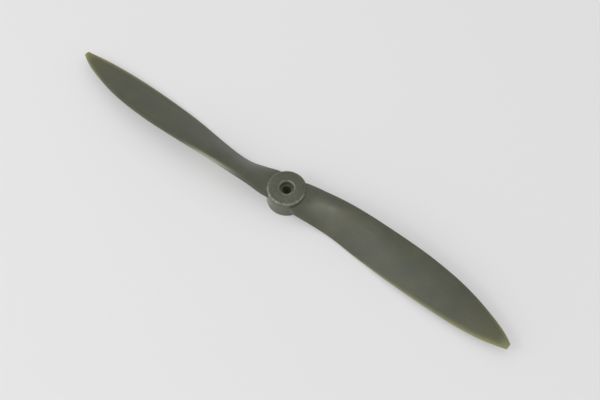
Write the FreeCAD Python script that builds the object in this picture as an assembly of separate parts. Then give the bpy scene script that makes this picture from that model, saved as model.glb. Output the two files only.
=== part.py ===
import FreeCAD, Part
import math
import os

# A two-blade model aircraft propeller, injection moulded in one piece.
# Millimetres. The origin is the centre of the back face of the hub, +Z runs
# forward along the shaft, +X runs out along one blade.

# Whole propeller: ten inches across the tips, eight inches of pitch
DIAMETER = 254.0
PITCH = 203.2

# Hub
HUB_FRONT_DIAMETER = 18.9
HUB_BACK_DIAMETER = 19.1
HUB_HEIGHT = 10.5
HUB_FRONT_EDGE_RADIUS = 1.3
HUB_BACK_CHAMFER = 0.2

# Stepped shaft bore
BORE_DIAMETER = 4.4
COUNTERBORE_DIAMETER = 6.5
COUNTERBORE_DEPTH = 2.1
MOUTH_DIAMETER = 8.2
MOUTH_DEPTH = 0.45
BORE_BACK_CHAMFER = 0.3
TOOL_CLEARANCE = 1.0

# The blade's stations are shares of the tip radius, and the first lies inside the hub.

# Plan outline: how far each edge lies from the blade's axis
LEADING_EDGE = (
    (0.03, 8.4), (0.07, 9.3), (0.13, 9.7), (0.19, 10.4), (0.25, 11.05), (0.35, 11.8), (0.47, 12.45),
    (0.59, 12.65), (0.71, 11.75), (0.80, 10.05), (0.88, 7.55), (0.94, 5.1), (0.975, 3.1), (1.0, 1.2),
)
TRAILING_EDGE = (
    (0.03, -5.2), (0.07, -5.6), (0.13, -4.65), (0.19, -3.95), (0.25, -4.0), (0.35, -5.0), (0.47, -6.05),
    (0.59, -6.4), (0.71, -6.25), (0.80, -5.7), (0.88, -4.65), (0.94, -3.3), (1.0, -1.45),
)

# Height of the middle of the chord above the back face of the hub
CHORD_HEIGHT = (
    (0.03, 6.9), (0.07, 7.2), (0.13, 7.25), (0.19, 6.85), (0.25, 6.75), (0.35, 6.65), (0.47, 6.8),
    (0.59, 6.5), (0.71, 6.0), (0.80, 5.5), (0.88, 5.3), (0.94, 5.35), (1.0, 5.6),
)

# Largest thickness of the section
THICKNESS = (
    (0.03, 5.2), (0.07, 5.25), (0.13, 5.3), (0.19, 4.9), (0.25, 4.2), (0.35, 3.5), (0.47, 3.0),
    (0.63, 2.4), (0.79, 1.9), (0.90, 1.5), (0.975, 1.1), (1.0, 0.9),
)

# Thickness of the trailing edge, and its roundness from 0 for a flat edge to 1 for a half round
EDGE_THICKNESS = (
    (0.03, 3.2), (0.07, 3.2), (0.13, 2.4), (0.19, 1.6), (0.25, 1.0), (0.35, 0.8), (0.47, 0.75), (1.0, 0.6),
)
EDGE_ROUNDNESS = ((0.03, 1.0), (0.13, 1.0), (0.24, 0.5), (0.35, 0.2), (1.0, 0.2))
# The blunt edge thickens the whole section, by this share of itself where the section is thickest
EDGE_SHARE = 0.4

# Camber as a share of the thickness: none to speak of at the root, the front bulges outboard
CAMBER_SHARE = (
    (0.03, -0.14), (0.07, -0.12), (0.13, -0.02), (0.19, 0.12), (0.26, 0.3), (0.35, 0.36), (1.0, 0.36),
)
CAMBER_PLACE = 0.40

# Blade angle in degrees, out to the station where the constant pitch helix takes over
ROOT_ANGLE = ((0.03, 8.5), (0.07, 12.5), (0.13, 27.3), (0.19, 36.6), (0.25, 38.4), (0.31, 37.4))
HELIX_STATIONS = (0.36, 0.41)

# How finely the loft follows the laws: sections sit closer together at the root and the tip
SECTION_COUNT = 36
END_CROWDING = 0.4
POINTS_PER_SIDE = 14


def law(stations, share):
    """Smooth curve through the stations, read at one share of the tip radius."""
    last = len(stations) - 2
    i = 0
    while i < last and share > stations[i + 1][0]:
        i += 1
    (x0, y0), (x1, y1) = stations[i], stations[i + 1]

    def slope(k):
        before = stations[max(k - 1, 0)]
        after = stations[min(k + 1, len(stations) - 1)]
        return (after[1] - before[1]) / (after[0] - before[0])

    step = x1 - x0
    t = (share - x0) / step
    h00 = (1.0 + 2.0 * t) * (1.0 - t) ** 2
    h10 = t * (1.0 - t) ** 2
    h01 = t * t * (3.0 - 2.0 * t)
    h11 = t * t * (t - 1.0)
    return h00 * y0 + h10 * step * slope(i) + h01 * y1 + h11 * step * slope(i + 1)


def helix_angle(share):
    """Angle in degrees of a helix of the propeller's pitch."""
    return math.degrees(math.atan(PITCH / (math.pi * DIAMETER * share)))


def blade_angle(share):
    """Angle of the blade in radians: the helix, held down near the hub."""
    if share >= HELIX_STATIONS[0]:
        return math.radians(helix_angle(share))
    stations = ROOT_ANGLE + tuple((s, helix_angle(s)) for s in HELIX_STATIONS)
    return math.radians(law(stations, share))


def section_point(s, side, chord, thickness, edge, camber_share):
    """Point at share s of the chord of a four-digit airfoil with a blunt trailing edge.

    side is +1 for the front of the blade and -1 for its back."""
    ratio = (thickness - EDGE_SHARE * edge) / chord
    half = 5.0 * ratio * (
        0.2969 * math.sqrt(s) - 0.1260 * s - 0.3516 * s ** 2 + 0.2843 * s ** 3 - 0.1036 * s ** 4
    )
    half += 0.5 * edge / chord * s
    camber = camber_share * ratio
    if s < CAMBER_PLACE:
        mean = camber * (2.0 * CAMBER_PLACE * s - s * s) / CAMBER_PLACE ** 2
    else:
        rear = (1.0 - CAMBER_PLACE) ** 2
        mean = camber * (1.0 - 2.0 * CAMBER_PLACE + 2.0 * CAMBER_PLACE * s - s * s) / rear
    return (s - 0.5) * chord, (mean + side * half) * chord


def section_wire(share):
    """Closed airfoil outline across the blade at one station."""
    radius = share * DIAMETER / 2.0
    angle = blade_angle(share)
    lead = law(LEADING_EDGE, share)
    trail = law(TRAILING_EDGE, share)
    chord = (lead - trail) / math.cos(angle)
    height = law(CHORD_HEIGHT, share)
    thickness = law(THICKNESS, share)
    edge = law(EDGE_THICKNESS, share)
    camber = law(CAMBER_SHARE, share)

    def place(along, up):
        y = (lead + trail) / 2.0 - along * math.cos(angle) - up * math.sin(angle)
        z = height - along * math.sin(angle) + up * math.cos(angle)
        return FreeCAD.Vector(radius, y, z)

    # Points crowd towards the leading edge, where the section turns fastest
    shares = [1.0 - math.cos(math.pi / 2.0 * i / POINTS_PER_SIDE) for i in range(POINTS_PER_SIDE + 1)]
    front = [place(*section_point(s, 1.0, chord, thickness, edge, camber)) for s in reversed(shares)]
    back = [place(*section_point(s, -1.0, chord, thickness, edge, camber)) for s in shares[1:]]
    points = front + back
    skin = Part.BSplineCurve()
    skin.interpolate(Points=points, Parameters=[i / (len(points) - 1.0) for i in range(len(points))])

    # The trailing edge is one cubic, from a straight line at roundness 0 to a half circle at 1
    roundness = law(EDGE_ROUNDNESS, share)
    reach = chord / 2.0 + roundness * edge * 2.0 / 3.0
    spread = edge * (1.0 + 2.0 * roundness) / 6.0
    closing = Part.BezierCurve()
    closing.setPoles([points[-1], place(reach, -spread), place(reach, spread), points[0]])
    return Part.Wire([skin.toShape(), closing.toShape()])


def blade():
    """One blade along +X, lofted through its airfoil sections from inside the hub to the tip."""
    root = LEADING_EDGE[0][0]
    wires = []
    for i in range(SECTION_COUNT + 1):
        t = i / float(SECTION_COUNT)
        t -= END_CROWDING * math.sin(2.0 * math.pi * t) / (2.0 * math.pi)
        wires.append(section_wire(root + (1.0 - root) * t))
    return Part.makeLoft(wires, True, False)


def turned(outline):
    """Solid of revolution about the shaft axis, from (radius, height) points of its half section."""
    points = [FreeCAD.Vector(r, 0, z) for r, z in outline]
    face = Part.Face(Part.makePolygon(points + points[:1]))
    return face.revolve(FreeCAD.Vector(), FreeCAD.Vector(0, 0, 1), 360.0)


def hub():
    """Hub with its drafted wall, rounded front edge and chamfered back edge."""
    front = HUB_FRONT_DIAMETER / 2.0
    back = HUB_BACK_DIAMETER / 2.0
    body = turned([
        (0, 0), (back - HUB_BACK_CHAMFER, 0), (back, HUB_BACK_CHAMFER), (front, HUB_HEIGHT), (0, HUB_HEIGHT),
    ])
    rim = max(body.Edges, key=lambda edge: edge.BoundBox.ZMin + edge.BoundBox.XMax)
    return body.makeFillet(HUB_FRONT_EDGE_RADIUS, [rim])


def bore_tool():
    """What the stepped bore takes out of the hub."""
    bore = BORE_DIAMETER / 2.0
    counter = COUNTERBORE_DIAMETER / 2.0
    mouth = MOUTH_DIAMETER / 2.0
    floor = HUB_HEIGHT - COUNTERBORE_DEPTH
    above = HUB_HEIGHT + TOOL_CLEARANCE
    return turned([
        (0, -TOOL_CLEARANCE), (bore + BORE_BACK_CHAMFER + TOOL_CLEARANCE, -TOOL_CLEARANCE),
        (bore, BORE_BACK_CHAMFER), (bore, floor), (counter, floor), (counter, HUB_HEIGHT - MOUTH_DEPTH),
        (mouth, HUB_HEIGHT), (mouth, above), (0, above),
    ])


def propeller():
    """Hub and both blades as one solid, with the bore through it."""
    first = blade()
    second = first.copy()
    second.rotate(FreeCAD.Vector(), FreeCAD.Vector(0, 0, 1), 180.0)
    body = hub().fuse([first, second]).removeSplitter()
    return body.cut(bore_tool())


def main():
    os.makedirs("parts", exist_ok=True)
    shape = propeller()
    solid = shape.Solids[0]
    print("solids", len(shape.Solids), "valid", shape.isValid(), "volume", round(solid.Volume, 1))
    solid.exportStep("parts/propeller.step")


main()
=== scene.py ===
import math

import bpy
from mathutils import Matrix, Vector

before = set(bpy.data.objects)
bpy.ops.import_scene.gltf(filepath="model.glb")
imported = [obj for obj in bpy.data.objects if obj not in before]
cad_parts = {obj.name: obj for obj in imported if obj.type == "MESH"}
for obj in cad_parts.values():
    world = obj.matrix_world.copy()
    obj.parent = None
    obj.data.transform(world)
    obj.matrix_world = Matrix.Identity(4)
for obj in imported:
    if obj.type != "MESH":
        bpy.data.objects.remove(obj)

bl_info = {
    "name": "Model aircraft propeller",
    "version": (1, 0, 0),
    "blender": (4, 5, 0),
    "location": "3D View > Sidebar > Propeller",
    "description": "Dresses the moulded propeller and sets the stage that it lies on",
    "category": "Object",
}

# Lengths are in metres, and a pair of numbers holds where something begins and where it is full.
MM = 0.001
NODE = "propeller"

# Refractive index of nylon, and how light spreads under its skin: share, reach, and reach of each colour
NYLON_IOR = 1.53
UNDER_SKIN_SHARE = 0.5
UNDER_SKIN_REACH = 1.0 * MM
UNDER_SKIN_COLOURS = (1.0, 0.95, 0.55)

# The flow marks are drawn out along the blades, and have this share of the mottle
FLOW_STRETCH = (0.12, 1.0, 1.0)
FLOW_SHARE = 0.25
# Span of the mottle's noise from the dark tone to the light one
MOTTLE_SPAN = (0.35, 0.65)

# Share of the inside that is open within the glow depth, where the painted glow begins and where it is full
THIN_SPAN = (0.8, 0.1)
# From the blade's axis towards the leading edge: the painted glow of the trailing side, and its share ahead
# of that
TRAILING_SIDE = (2.5 * MM, -1.5 * MM)
GLOW_AHEAD = 0.1

# Along the blade from the shaft axis: the warm tint painted on the tip, the painted glow of its end, the
# painted light strip on the leading edge, and the change from the glossier skin of the root to the duller one
# of the blade
TIP_TONE = (98.0 * MM, 124.0 * MM)
TIP_END = (120.0 * MM, 129.0 * MM)
STRIP_START = (18.0 * MM, 36.0 * MM)
STRIP_END = (40.0 * MM, 57.0 * MM)
ROOT_GLOSS = (23.0 * MM, 33.0 * MM)

# How far a face looks up where it counts as upright, and where the painted light strip lies below the leading
# edge
UPRIGHT_LEAN = (0.55, 0.15)
BELOW_EDGE_LEAN = (0.35, 0.1)
# How far a face looks towards the leading edge where the painted light strip lies
STRIP_FACING = (-0.1, 0.35)

# Unevenness of the roughness over the patches of the mottle
PATCH_NOISE = (0.3, 0.7)
UNEVEN_ROUGHNESS = (-0.05, 0.06)
# How strongly the grain shows, and how high it stands
GRAIN_STRENGTH = 0.25
GRAIN_HEIGHT = 0.02 * MM

# Scuff marks with painted highlights: distance from the shaft axis, half width, and share on the hub's rim,
# its face and the bore's mouth
HUB_RIM = (8.95 * MM, 0.9 * MM, 1.0)
HUB_FACE = (6.6 * MM, 4.0 * MM, 0.17)
MOUTH_RIM = (3.9 * MM, 0.45 * MM, 0.7)
# The lit side, where the painted highlights fall and the hub has also worn, the distance towards it, and the
# share of scuff marks on the other side
LIT_AND_RUBBED_SIDE = (0.36, -0.93, 0.0)
LIT_AND_RUBBED_SPAN = (-2.0 * MM, 4.0 * MM)
OTHER_SIDE_SHARE = 0.25
# Height that the scuff marks and painted highlights stay above
SCUFF_HEIGHT = (9.3 * MM, 9.9 * MM)
# Width of the flecks that break the scuff marks and painted highlights up, span of their noise, and the share
# left between them
FLECK_WIDTH = 1.6 * MM
FLECK_SPAN = (0.36, 0.58)
BETWEEN_FLECKS = 0.15

# Floor: roughness and gloss of the board, and the distance from the shaft axis at which its even light starts
BOARD_ROUGHNESS = 0.7
BOARD_GLOSS = 0.2
EVEN_LIGHT_START = (3.0 * MM, 9.0 * MM)

# Lamps: width, and place to the right, away and up as the camera sees it
WINDOW_WIDTH = 1.4
WINDOW_PLACE = (-0.957, -0.33, 0.44)
LAMP_WIDTH = 0.2
LAMP_PLACE = (-0.671, -0.363, 0.792)
WHITE = (1.0, 1.0, 1.0)

# The room light at the horizon as a share of that overhead, and how much paler its backdrop is overhead
HORIZON_SHARE = 0.4
BACKDROP_OVERHEAD = 1.28

# Middle of the hub's front face, from which the camera's aim is measured
HUB_FRONT = Vector((0.0, 0.0, 10.5 * MM))
SENSOR_WIDTH_IN_MM = 36.0

# Sockets of the Mix node, whose kinds share their names: inputs, then outputs
FACTOR, FIRST_NUMBER, SECOND_NUMBER, FIRST_COLOUR, SECOND_COLOUR = 0, 2, 3, 6, 7
MIXED_NUMBER, MIXED_COLOUR = 0, 2


def linear(hex_colour):
    """Turns an sRGB hex colour into the linear red, green and blue that shaders use."""
    channels = [int(hex_colour[i:i + 2], 16) / 255.0 for i in (1, 3, 5)]
    return tuple(c / 12.92 if c <= 0.04045 else ((c + 0.055) / 1.055) ** 2.4 for c in channels)


def add_node(tree, kind, settings=None, inputs=None, links=None):
    """Adds a node, sets its properties and input values, and links outputs of other nodes to its inputs."""
    node = tree.nodes.new(kind)
    for name, value in (settings or {}).items():
        setattr(node, name, value)
    for name, value in (inputs or {}).items():
        node.inputs[name].default_value = value
    for name, socket in (links or {}).items():
        tree.links.new(socket, node.inputs[name])
    return node


def new_material(name):
    """Makes a material whose node tree is still empty."""
    material = bpy.data.materials.new(name)
    material.use_nodes = True
    material.node_tree.nodes.clear()
    return material


def moulded_nylon(settings):
    """Glass-filled nylon, injection moulded in an etched steel mould.

    The glass near the skin breaks the gloss into a satin one and leaves faint flow marks along the
    blades. The nylon lets a little light through under its skin; its thin edges and tips are also painted
    paler and warmer for that light, its upright faces are painted paler for the floor's light, and painted
    highlights lie along the leading edges and on the scuffed rims."""
    material = new_material("moulded_glass_filled_nylon")
    tree = material.node_tree
    place = add_node(tree, "ShaderNodeTexCoord").outputs["Object"]
    reach = reach_along(tree, place)
    side = side_faces(tree)
    patches = add_node(tree, "ShaderNodeTexNoise", inputs={
        "Scale": 1.0 / settings.mottle_size, "Detail": 3.0, "Roughness": 0.55},
        links={"Vector": place}).outputs["Fac"]

    # The tips are painted a warmer tint, painted light for what comes through them
    tip = add_node(tree, "ShaderNodeMapRange", {"interpolation_type": "SMOOTHSTEP"}, {
        "From Min": TIP_TONE[0], "From Max": TIP_TONE[1], "To Min": 0.0, "To Max": 1.0},
        {"Value": reach}).outputs[0]
    # Painted glow: the thin edges and tip ends are painted paler, painted light for what comes through them
    painted_glow = painted_thin_glow(tree, place, reach, tip, settings)
    # Upright faces are painted paler, a painted reflection of the bright floor's light
    pale = add_node(tree, "ShaderNodeMath", {"operation": "MULTIPLY"}, {1: settings.painted_floor_light_share}, {
        0: side}).outputs[0]
    # A pale strip painted along the leading edges, a painted highlight
    painted_strip = painted_light_strip(tree, place, reach)
    # Scuff marks on the rims, brightened towards the lit side as painted highlights
    scuffs_and_highlights = scuffs_and_painted_highlights(tree, place, settings)

    # Each tone covers the ones before it by its share
    colour = mottled_body(tree, place, patches, settings)
    for share, tone in (
        (tip, settings.painted_tip_tint), (painted_glow, settings.painted_glow_colour), (pale, settings.painted_floor_light_colour),
        (painted_strip, settings.painted_strip_colour), (scuffs_and_highlights, settings.scuff_and_highlight_colour),
    ):
        colour = add_node(tree, "ShaderNodeMix", {"data_type": "RGBA"}, {SECOND_COLOUR: (*tone, 1.0)}, {
            FACTOR: share, FIRST_COLOUR: colour}).outputs[MIXED_COLOUR]

    # The grain of an etched mould is about 0.1 mm wide, too fine to show here, so it is drawn coarser
    grain = add_node(tree, "ShaderNodeTexNoise", inputs={
        "Scale": 1.0 / settings.grain_size, "Detail": 2.0, "Roughness": 0.6},
        links={"Vector": place}).outputs["Fac"]
    bump = add_node(tree, "ShaderNodeBump", inputs={
        "Strength": GRAIN_STRENGTH, "Distance": GRAIN_HEIGHT}, links={"Height": grain}).outputs["Normal"]

    shader = add_node(tree, "ShaderNodeBsdfPrincipled", inputs={
        "IOR": NYLON_IOR, "Metallic": 0.0, "Subsurface Weight": UNDER_SKIN_SHARE,
        "Subsurface Radius": UNDER_SKIN_COLOURS, "Subsurface Scale": UNDER_SKIN_REACH}, links={
        "Base Color": colour, "Roughness": skin_roughness(tree, reach, patches, side, settings),
        "Normal": bump})
    add_node(tree, "ShaderNodeOutputMaterial", links={"Surface": shader.outputs["BSDF"]})
    return material


def mottled_body(tree, place, patches, settings):
    """Gives the colour of the body: soft patches of two tones, with faint flow marks along the blades."""
    stretched = add_node(tree, "ShaderNodeMapping", inputs={"Scale": FLOW_STRETCH}, links={
        "Vector": place}).outputs["Vector"]
    flow = add_node(tree, "ShaderNodeTexNoise", inputs={
        "Scale": 1.0 / settings.flow_mark_width, "Detail": 2.0, "Roughness": 0.5},
        links={"Vector": stretched}).outputs["Fac"]
    mottle = add_node(tree, "ShaderNodeMix", {"data_type": "FLOAT"}, {FACTOR: FLOW_SHARE}, {
        FIRST_NUMBER: patches, SECOND_NUMBER: flow}).outputs[MIXED_NUMBER]
    spread = add_node(tree, "ShaderNodeMapRange", inputs={
        "From Min": MOTTLE_SPAN[0], "From Max": MOTTLE_SPAN[1], "To Min": 0.0, "To Max": 1.0},
        links={"Value": mottle}).outputs[0]
    return add_node(tree, "ShaderNodeMix", {"data_type": "RGBA"}, {
        FIRST_COLOUR: (*settings.dark_colour, 1.0), SECOND_COLOUR: (*settings.light_colour, 1.0)},
        {FACTOR: spread}).outputs[MIXED_COLOUR]


def painted_thin_glow(tree, place, reach, tip, settings):
    """Gives how far the edges are painted paler for the light that comes through: on the thin trailing edges,
    round the tips and at their ends.
    """
    inside = add_node(tree, "ShaderNodeAmbientOcclusion", {
        "inside": True, "only_local": True, "samples": 8}, {"Distance": settings.glow_depth}).outputs["AO"]
    thin = add_node(tree, "ShaderNodeMapRange", {"interpolation_type": "SMOOTHSTEP"}, {
        "From Min": THIN_SPAN[0], "From Max": THIN_SPAN[1], "To Min": 0.0, "To Max": settings.painted_glow_share},
        {"Value": inside}).outputs[0]
    ahead = towards_leading_edge(tree, place, place)
    behind = add_node(tree, "ShaderNodeMapRange", {"interpolation_type": "SMOOTHSTEP"}, {
        "From Min": TRAILING_SIDE[0], "From Max": TRAILING_SIDE[1], "To Min": GLOW_AHEAD, "To Max": 1.0},
        {"Value": ahead}).outputs[0]
    lit = add_node(tree, "ShaderNodeMath", {"operation": "MAXIMUM"}, links={0: behind, 1: tip}).outputs[0]
    edge = add_node(tree, "ShaderNodeMath", {"operation": "MULTIPLY"}, links={0: thin, 1: lit}).outputs[0]
    end = add_node(tree, "ShaderNodeMapRange", {"interpolation_type": "SMOOTHSTEP"}, {
        "From Min": TIP_END[0], "From Max": TIP_END[1], "To Min": 0.0, "To Max": settings.painted_glow_share},
        {"Value": reach}).outputs[0]
    return add_node(tree, "ShaderNodeMath", {"operation": "MAXIMUM"}, links={0: edge, 1: end}).outputs[0]


def skin_roughness(tree, reach, patches, side, settings):
    """Gives the roughness: satin on the hub and roots, duller on the blades, smoother on upright faces."""
    satin = add_node(tree, "ShaderNodeMapRange", {"interpolation_type": "SMOOTHSTEP"}, {
        "From Min": ROOT_GLOSS[0], "From Max": ROOT_GLOSS[1], "To Min": settings.roughness,
        "To Max": settings.blade_roughness}, {"Value": reach}).outputs[0]
    uneven = add_node(tree, "ShaderNodeMapRange", inputs={
        "From Min": PATCH_NOISE[0], "From Max": PATCH_NOISE[1], "To Min": UNEVEN_ROUGHNESS[0],
        "To Max": UNEVEN_ROUGHNESS[1]}, links={"Value": patches}).outputs[0]
    skin = add_node(tree, "ShaderNodeMath", {"operation": "ADD"}, links={0: satin, 1: uneven}).outputs[0]
    return add_node(tree, "ShaderNodeMix", {"data_type": "FLOAT"}, {SECOND_NUMBER: settings.side_roughness}, {
        FACTOR: side, FIRST_NUMBER: skin}).outputs[MIXED_NUMBER]


def towards_leading_edge(tree, place, vector):
    """Gives the part of a vector that points to the leading edge: +Y on the +X blade, -Y on the other."""
    blade = add_node(tree, "ShaderNodeSeparateXYZ", links={"Vector": place}).outputs["X"]
    sign = add_node(tree, "ShaderNodeMath", {"operation": "SIGN"}, links={0: blade}).outputs[0]
    across = add_node(tree, "ShaderNodeSeparateXYZ", links={"Vector": vector}).outputs["Y"]
    return add_node(tree, "ShaderNodeMath", {"operation": "MULTIPLY"}, links={0: across, 1: sign}).outputs[0]


def reach_along(tree, place):
    """Gives the distance along the blade from the shaft axis."""
    along = add_node(tree, "ShaderNodeSeparateXYZ", links={"Vector": place}).outputs["X"]
    return add_node(tree, "ShaderNodeMath", {"operation": "ABSOLUTE"}, links={0: along}).outputs[0]


def painted_light_strip(tree, place, reach):
    """Gives 1 on a pale strip painted along the root half of each leading edge, a painted highlight on the
    faces that turn below the edge.

    It reaches up over the edge on the -X blade and stays below it on the other."""
    normal = add_node(tree, "ShaderNodeNewGeometry").outputs["Normal"]
    facing = add_node(tree, "ShaderNodeMapRange", {"interpolation_type": "SMOOTHSTEP"}, {
        "From Min": STRIP_FACING[0], "From Max": STRIP_FACING[1], "To Min": 0.0, "To Max": 1.0}, {
        "Value": towards_leading_edge(tree, place, normal)}).outputs[0]
    lean = add_node(tree, "ShaderNodeSeparateXYZ", links={"Vector": normal}).outputs["Z"]
    below = add_node(tree, "ShaderNodeMapRange", {"interpolation_type": "SMOOTHSTEP"}, {
        "From Min": BELOW_EDGE_LEAN[0], "From Max": BELOW_EDGE_LEAN[1], "To Min": 0.0, "To Max": 1.0},
        {"Value": lean}).outputs[0]
    blade = add_node(tree, "ShaderNodeSeparateXYZ", links={"Vector": place}).outputs["X"]
    second = add_node(tree, "ShaderNodeMath", {"operation": "LESS_THAN"}, {1: 0.0}, {0: blade}).outputs[0]
    side = add_node(tree, "ShaderNodeMath", {"operation": "MAXIMUM"}, links={0: below, 1: second}).outputs[0]
    edge = add_node(tree, "ShaderNodeMath", {"operation": "MULTIPLY"}, links={0: facing, 1: side}).outputs[0]
    start = add_node(tree, "ShaderNodeMapRange", {"interpolation_type": "SMOOTHSTEP"}, {
        "From Min": STRIP_START[0], "From Max": STRIP_START[1], "To Min": 0.0, "To Max": 1.0},
        {"Value": reach}).outputs[0]
    end = add_node(tree, "ShaderNodeMapRange", {"interpolation_type": "SMOOTHSTEP"}, {
        "From Min": STRIP_END[0], "From Max": STRIP_END[1], "To Min": 1.0, "To Max": 0.0},
        {"Value": reach}).outputs[0]
    between = add_node(tree, "ShaderNodeMath", {"operation": "MULTIPLY"}, links={0: start, 1: end}).outputs[0]
    return add_node(tree, "ShaderNodeMath", {"operation": "MULTIPLY"}, links={0: edge, 1: between}).outputs[0]


def side_faces(tree):
    """Gives 1 on faces that stand upright, as the hub's wall and the blades' edges do, and 0 on the rest."""
    normal = add_node(tree, "ShaderNodeNewGeometry").outputs["Normal"]
    lean = add_node(tree, "ShaderNodeSeparateXYZ", links={"Vector": normal}).outputs["Z"]
    looks_up = add_node(tree, "ShaderNodeMath", {"operation": "ABSOLUTE"}, links={0: lean}).outputs[0]
    return add_node(tree, "ShaderNodeMapRange", {"interpolation_type": "SMOOTHSTEP"}, {
        "From Min": UPRIGHT_LEAN[0], "From Max": UPRIGHT_LEAN[1], "To Min": 0.0, "To Max": 1.0},
        {"Value": looks_up}).outputs[0]


def scuffs_and_painted_highlights(tree, place, settings):
    """Gives the pale scuff marks on the rims of the hub and of the bore's mouth, and faint ones between them,
    brightened as painted highlights of the rims.

    Those on the hub's rim and face are strongest on the lit side, which is also the worn one."""
    flat = add_node(tree, "ShaderNodeVectorMath", {"operation": "MULTIPLY"}, {1: (1.0, 1.0, 0.0)}, {
        0: place}).outputs["Vector"]
    radius = add_node(tree, "ShaderNodeVectorMath", {"operation": "LENGTH"}, links={0: flat}).outputs["Value"]
    rings = []
    for middle, half_width, share in (HUB_RIM, HUB_FACE, MOUTH_RIM):
        off = add_node(tree, "ShaderNodeMath", {"operation": "SUBTRACT"}, {1: middle}, {0: radius}).outputs[0]
        away = add_node(tree, "ShaderNodeMath", {"operation": "ABSOLUTE"}, links={0: off}).outputs[0]
        rings.append(add_node(tree, "ShaderNodeMapRange", {"interpolation_type": "SMOOTHSTEP"}, {
            "From Min": 0.0, "From Max": half_width, "To Min": share, "To Max": 0.0},
            {"Value": away}).outputs[0])
    rim, face, mouth = rings

    # Painted highlights: the marks are strongest on the lit side of the hub
    towards = add_node(tree, "ShaderNodeVectorMath", {"operation": "DOT_PRODUCT"}, {1: LIT_AND_RUBBED_SIDE}, {
        0: place}).outputs["Value"]
    lit_and_rubbed = add_node(tree, "ShaderNodeMapRange", {"interpolation_type": "SMOOTHSTEP"}, {
        "From Min": LIT_AND_RUBBED_SPAN[0], "From Max": LIT_AND_RUBBED_SPAN[1], "To Min": OTHER_SIDE_SHARE, "To Max": 1.0},
        {"Value": towards}).outputs[0]
    either = add_node(tree, "ShaderNodeMath", {"operation": "MAXIMUM"}, links={0: rim, 1: face}).outputs[0]
    hub = add_node(tree, "ShaderNodeMath", {"operation": "MULTIPLY"}, links={0: either, 1: lit_and_rubbed}).outputs[0]
    scuffed = add_node(tree, "ShaderNodeMath", {"operation": "MAXIMUM"}, links={0: hub, 1: mouth}).outputs[0]

    height = add_node(tree, "ShaderNodeSeparateXYZ", links={"Vector": place}).outputs["Z"]
    top = add_node(tree, "ShaderNodeMapRange", {"interpolation_type": "SMOOTHSTEP"}, {
        "From Min": SCUFF_HEIGHT[0], "From Max": SCUFF_HEIGHT[1], "To Min": 0.0, "To Max": 1.0},
        {"Value": height}).outputs[0]
    flecks = add_node(tree, "ShaderNodeTexNoise", inputs={
        "Scale": 1.0 / FLECK_WIDTH, "Detail": 3.0, "Roughness": 0.6}, links={"Vector": place}).outputs["Fac"]
    broken = add_node(tree, "ShaderNodeMapRange", inputs={
        "From Min": FLECK_SPAN[0], "From Max": FLECK_SPAN[1], "To Min": BETWEEN_FLECKS,
        "To Max": settings.scuff_and_highlight_share}, links={"Value": flecks}).outputs[0]
    high = add_node(tree, "ShaderNodeMath", {"operation": "MULTIPLY"}, links={0: scuffed, 1: top}).outputs[0]
    return add_node(tree, "ShaderNodeMath", {"operation": "MULTIPLY"}, links={0: high, 1: broken}).outputs[0]


def matt_board(settings):
    """Matt white board, which scatters light back so evenly that the shadows on it stay pale.

    The share of even light shows only to the camera, in reflections and through glass, and lights
    nothing. There is none under the hub, where the bore looks down on a floor that no light reaches."""
    material = new_material("matt_white_board")
    tree = material.node_tree
    colour = (*settings.floor_colour, 1.0)
    board = add_node(tree, "ShaderNodeBsdfPrincipled", inputs={
        "Base Color": colour, "Roughness": BOARD_ROUGHNESS, "Specular IOR Level": BOARD_GLOSS})
    even = add_node(tree, "ShaderNodeEmission", inputs={"Color": colour, "Strength": 1.0})
    place = add_node(tree, "ShaderNodeTexCoord").outputs["Object"]
    radius = add_node(tree, "ShaderNodeVectorMath", {"operation": "LENGTH"}, links={
        0: place}).outputs["Value"]
    clear = add_node(tree, "ShaderNodeMapRange", inputs={
        "From Min": EVEN_LIGHT_START[0], "From Max": EVEN_LIGHT_START[1], "To Min": 0.0,
        "To Max": settings.shadow_lift}, links={"Value": radius}).outputs[0]
    share = add_node(tree, "ShaderNodeMath", {"operation": "MULTIPLY"}, links={
        0: seen_rays(tree), 1: clear}).outputs[0]
    mix = add_node(tree, "ShaderNodeMixShader", links={
        0: share, 1: board.outputs["BSDF"], 2: even.outputs["Emission"]})
    add_node(tree, "ShaderNodeOutputMaterial", links={"Surface": mix.outputs["Shader"]})
    return material


def seen_rays(tree):
    """Gives 1 for what the camera sees, straight or in a reflection or through glass, and 0 for light."""
    path = add_node(tree, "ShaderNodeLightPath").outputs
    either = add_node(tree, "ShaderNodeMath", {"operation": "MAXIMUM"}, links={
        0: path["Is Camera Ray"], 1: path["Is Glossy Ray"]}).outputs[0]
    return add_node(tree, "ShaderNodeMath", {"operation": "MAXIMUM"}, links={
        0: either, 1: path["Is Transmission Ray"]}).outputs[0]


def picture_sides(azimuth):
    """Gives the level directions to the right and away, as the camera at this azimuth sees them."""
    right = Vector((math.cos(azimuth), math.sin(azimuth), 0.0))
    away = Vector((-math.sin(azimuth), math.cos(azimuth), 0.0))
    return right, away


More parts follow.
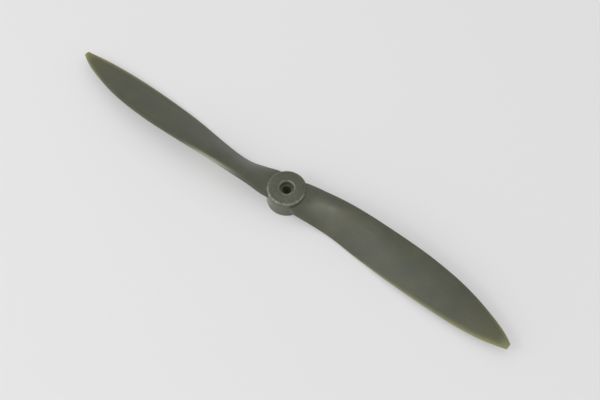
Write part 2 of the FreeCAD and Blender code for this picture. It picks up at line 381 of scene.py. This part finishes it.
class PropellerNylonSettings(bpy.types.PropertyGroup):
    """Colours and surface of the moulded nylon"""
    dark_colour: bpy.props.FloatVectorProperty(
        name="Dark tone", description="Darker, greener tone of the mottled nylon",
        subtype="COLOR", size=3, min=0.0, max=1.0, default=linear("#3d4332"))
    light_colour: bpy.props.FloatVectorProperty(
        name="Light tone", description="Lighter, browner tone of the mottled nylon",
        subtype="COLOR", size=3, min=0.0, max=1.0, default=linear("#4e4e3c"))
    # Colour of the painted glow on the thin edges and tip ends
    painted_glow_colour: bpy.props.FloatVectorProperty(
        name="Thin tone", description="Tone of the nylon where light comes through it",
        subtype="COLOR", size=3, min=0.0, max=1.0, default=linear("#8f905c"))
    # Warm tint painted on the tips for the light that comes through them
    painted_tip_tint: bpy.props.FloatVectorProperty(
        name="Tip tone", description="Tone of the thin tips, warmer than the rest and no paler",
        subtype="COLOR", size=3, min=0.0, max=1.0, default=linear("#515236"))
    # Tone of the upright faces, painted paler for the floor's light that they catch
    painted_floor_light_colour: bpy.props.FloatVectorProperty(
        name="Side tone", description="Tone of the smoother upright faces",
        subtype="COLOR", size=3, min=0.0, max=1.0, default=linear("#6d6f5c"))
    # Tone of the painted highlight strip along the leading edges
    painted_strip_colour: bpy.props.FloatVectorProperty(
        name="Land tone", description="Tone of the land along the root half of each leading edge",
        subtype="COLOR", size=3, min=0.0, max=1.0, default=linear("#8b8e7a"))
    # Share of the painted floor light on the upright faces
    painted_floor_light_share: bpy.props.FloatProperty(
        name="Side share", description="How far the upright faces turn to the side tone",
        subtype="FACTOR", min=0.0, max=1.0, default=0.35)
    side_roughness: bpy.props.FloatProperty(
        name="Side roughness", description="Roughness of the smoother upright faces",
        subtype="FACTOR", min=0.0, max=1.0, default=0.18)
    # Tone of the scuff marks, which are also painted highlights on the rims
    scuff_and_highlight_colour: bpy.props.FloatVectorProperty(
        name="Scuff tone", description="Tone of the scuffed rims",
        subtype="COLOR", size=3, min=0.0, max=1.0, default=linear("#8b8d80"))
    # Share of the scuff marks and painted highlights on the rims
    scuff_and_highlight_share: bpy.props.FloatProperty(
        name="Scuff share", description="How far the scuffed rims turn to the scuff tone",
        subtype="FACTOR", min=0.0, max=1.0, default=0.95)
    mottle_size: bpy.props.FloatProperty(
        name="Mottle size", description="Width of the soft patches of tone",
        unit="LENGTH", precision=4, min=0.5 * MM, default=9.0 * MM)
    flow_mark_width: bpy.props.FloatProperty(
        name="Flow mark width", description="Width of the flow marks along the blades",
        unit="LENGTH", precision=4, min=0.2 * MM, default=1.6 * MM)
    grain_size: bpy.props.FloatProperty(
        name="Grain size", description="Width of the grain that the etched mould leaves, as it is drawn",
        unit="LENGTH", precision=5, min=0.05 * MM, default=0.5 * MM)
    glow_depth: bpy.props.FloatProperty(
        name="Glow depth", description="Thickness that light comes through",
        unit="LENGTH", precision=4, min=0.1 * MM, default=1.2 * MM)
    # Share of the painted glow on the thinnest edges
    painted_glow_share: bpy.props.FloatProperty(
        name="Glow share", description="How far the thinnest edges turn to the thin tone",
        subtype="FACTOR", min=0.0, max=1.0, default=0.8)
    roughness: bpy.props.FloatProperty(
        name="Roughness", description="Roughness of the satin skin on the hub and the roots",
        subtype="FACTOR", min=0.0, max=1.0, default=0.36)
    blade_roughness: bpy.props.FloatProperty(
        name="Blade roughness", description="Roughness of the duller skin on the rest of the blades",
        subtype="FACTOR", min=0.0, max=1.0, default=0.5)


class PropellerStageSettings(bpy.types.PropertyGroup):
    """Floor, light and camera"""
    floor_colour: bpy.props.FloatVectorProperty(
        name="Floor", description="Colour of the plain pale floor and of the backdrop",
        subtype="COLOR", size=3, min=0.0, max=1.0, default=linear("#e4e3e4"))
    shadow_lift: bpy.props.FloatProperty(
        name="Shadow lift", description="Share of the floor's tone that the shadows leave alone",
        subtype="FACTOR", min=0.0, max=1.0, default=0.33)
    floor_size: bpy.props.FloatProperty(
        name="Floor size", description="Side of the square floor",
        unit="LENGTH", min=0.5, default=6.0)
    camera_azimuth: bpy.props.FloatProperty(
        name="Azimuth", description="How far the camera stands round the shaft axis",
        subtype="ANGLE", default=math.radians(38.28))
    camera_elevation: bpy.props.FloatProperty(
        name="Elevation", description="How far the camera stands above the floor",
        subtype="ANGLE", default=math.radians(61.5))
    camera_distance: bpy.props.FloatProperty(
        name="Distance", description="From the camera to the point that it aims at",
        unit="LENGTH", default=0.708)
    lens: bpy.props.FloatProperty(
        name="Lens", description="Focal length on a sensor 36 mm wide",
        unit="CAMERA", default=90.54)
    aim_right: bpy.props.FloatProperty(
        name="Aim right", description="How far to the right of the hub the camera aims",
        unit="LENGTH", precision=5, default=6.29 * MM)
    aim_down: bpy.props.FloatProperty(
        name="Aim down", description="How far below the hub in the picture the camera aims",
        unit="LENGTH", precision=5, default=5.86 * MM)
    window_power: bpy.props.FloatProperty(
        name="Window light", description="Power of the soft light from the left, in watts",
        unit="POWER", min=0.0, default=5.7)
    lamp_power: bpy.props.FloatProperty(
        name="Lamp", description="Power of the small lamp that shows the satin gloss, in watts",
        unit="POWER", min=0.0, default=0.8)
    lamp_colour: bpy.props.FloatVectorProperty(
        name="Lamp colour", description="Warm white of the small lamp",
        subtype="COLOR", size=3, min=0.0, max=1.0, default=linear("#fffcf0"))
    room_strength: bpy.props.FloatProperty(
        name="Room light", description="Strength of the room light overhead, which falls to the horizon",
        min=0.0, default=1.0)


class PROPELLER_OT_moulding(bpy.types.Operator):
    """Gives the one-piece moulding its nylon finish"""
    bl_idname = "propeller.moulding"
    bl_label = "Finish the moulding"

    def execute(self, context):
        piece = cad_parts[NODE]
        piece.data.materials.clear()
        piece.data.materials.append(moulded_nylon(context.scene.propeller_nylon))
        return {"FINISHED"}


class PROPELLER_OT_stage(bpy.types.Operator):
    """Lays the floor and sets the light and the camera"""
    bl_idname = "propeller.stage"
    bl_label = "Set the stage"

    def execute(self, context):
        settings = context.scene.propeller_stage
        self.floor(context, settings)
        self.lamps(context, settings)
        self.room(context, settings)
        self.camera(context, settings)
        context.scene.view_settings.view_transform = "Standard"
        return {"FINISHED"}

    def floor(self, context, settings):
        half = 0.5 * settings.floor_size
        corners = [(-half, -half, 0), (half, -half, 0), (half, half, 0), (-half, half, 0)]
        mesh = bpy.data.meshes.new("floor")
        mesh.from_pydata(corners, [], [(0, 1, 2, 3)])
        mesh.materials.append(matt_board(settings))
        floor = bpy.data.objects.new("floor", mesh)
        context.scene.collection.objects.link(floor)

    def lamps(self, context, settings):
        """Hangs the big soft window light and the small lamp, both turned to the shaft axis."""
        right, away = picture_sides(settings.camera_azimuth)
        for name, width, power, colour, place in (
            ("window", WINDOW_WIDTH, settings.window_power, WHITE, WINDOW_PLACE),
            ("lamp", LAMP_WIDTH, settings.lamp_power, settings.lamp_colour, LAMP_PLACE),
        ):
            light = bpy.data.lights.new(name, "AREA")
            light.shape = "DISK"
            light.size = width
            light.energy = power
            light.color = colour
            lamp = bpy.data.objects.new(name, light)
            lamp.location = place[0] * right + place[1] * away + Vector((0.0, 0.0, place[2]))
            lamp.rotation_euler = (-lamp.location).to_track_quat("-Z", "Y").to_euler()
            context.scene.collection.objects.link(lamp)

    def room(self, context, settings):
        """Sets the room light, which falls to the horizon, and the pale backdrop that the camera sees."""
        world = bpy.data.worlds.new("room")
        world.use_nodes = True
        tree = world.node_tree
        tree.nodes.clear()
        direction = add_node(tree, "ShaderNodeTexCoord").outputs["Generated"]
        height = add_node(tree, "ShaderNodeSeparateXYZ", links={"Vector": direction}).outputs["Z"]
        strength = add_node(tree, "ShaderNodeMapRange", inputs={
            "From Min": 0.0, "From Max": 1.0, "To Min": HORIZON_SHARE * settings.room_strength,
            "To Max": settings.room_strength}, links={"Value": height}).outputs[0]
        room = add_node(tree, "ShaderNodeBackground", inputs={"Color": (*WHITE, 1.0)}, links={
            "Strength": strength})
        paler = add_node(tree, "ShaderNodeMapRange", inputs={
            "From Min": 0.0, "From Max": 1.0, "To Min": 1.0, "To Max": BACKDROP_OVERHEAD},
            links={"Value": height}).outputs[0]
        backdrop = add_node(tree, "ShaderNodeBackground", inputs={
            "Color": (*settings.floor_colour, 1.0)}, links={"Strength": paler})
        mix = add_node(tree, "ShaderNodeMixShader", links={
            0: seen_rays(tree), 1: room.outputs["Background"], 2: backdrop.outputs["Background"]})
        add_node(tree, "ShaderNodeOutputWorld", links={"Surface": mix.outputs["Shader"]})
        context.scene.world = world

    def camera(self, context, settings):
        right, away = picture_sides(settings.camera_azimuth)
        elevation = settings.camera_elevation
        forward = away * math.cos(elevation) - Vector((0.0, 0.0, math.sin(elevation)))
        up = right.cross(forward)
        aim = HUB_FRONT + right * settings.aim_right - up * settings.aim_down
        lens = bpy.data.cameras.new("camera")
        lens.sensor_width = SENSOR_WIDTH_IN_MM
        lens.lens = settings.lens
        camera = bpy.data.objects.new("camera", lens)
        camera.location = aim - forward * settings.camera_distance
        camera.rotation_euler = forward.to_track_quat("-Z", "Y").to_euler()
        context.scene.collection.objects.link(camera)
        context.scene.camera = camera


class PROPELLER_PT_panel(bpy.types.Panel):
    """Lists the settings and the steps of the propeller"""
    bl_idname = "PROPELLER_PT_panel"
    bl_label = "Propeller"
    bl_space_type = "VIEW_3D"
    bl_region_type = "UI"
    bl_category = "Propeller"

    def draw(self, context):
        for group, operator in (
            (context.scene.propeller_nylon, "propeller.moulding"),
            (context.scene.propeller_stage, "propeller.stage"),
        ):
            box = self.layout.box()
            for name in group.__annotations__:
                box.prop(group, name)
            box.operator(operator)


CLASSES = (
    PropellerNylonSettings, PropellerStageSettings, PROPELLER_OT_moulding, PROPELLER_OT_stage,
    PROPELLER_PT_panel,
)


def register():
    for cls in CLASSES:
        bpy.utils.register_class(cls)
    bpy.types.Scene.propeller_nylon = bpy.props.PointerProperty(type=PropellerNylonSettings)
    bpy.types.Scene.propeller_stage = bpy.props.PointerProperty(type=PropellerStageSettings)


def unregister():
    del bpy.types.Scene.propeller_stage
    del bpy.types.Scene.propeller_nylon
    for cls in reversed(CLASSES):
        bpy.utils.unregister_class(cls)


def main():
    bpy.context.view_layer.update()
    register()
    bpy.ops.propeller.moulding()
    bpy.ops.propeller.stage()


if __name__ == "__main__":
    main()
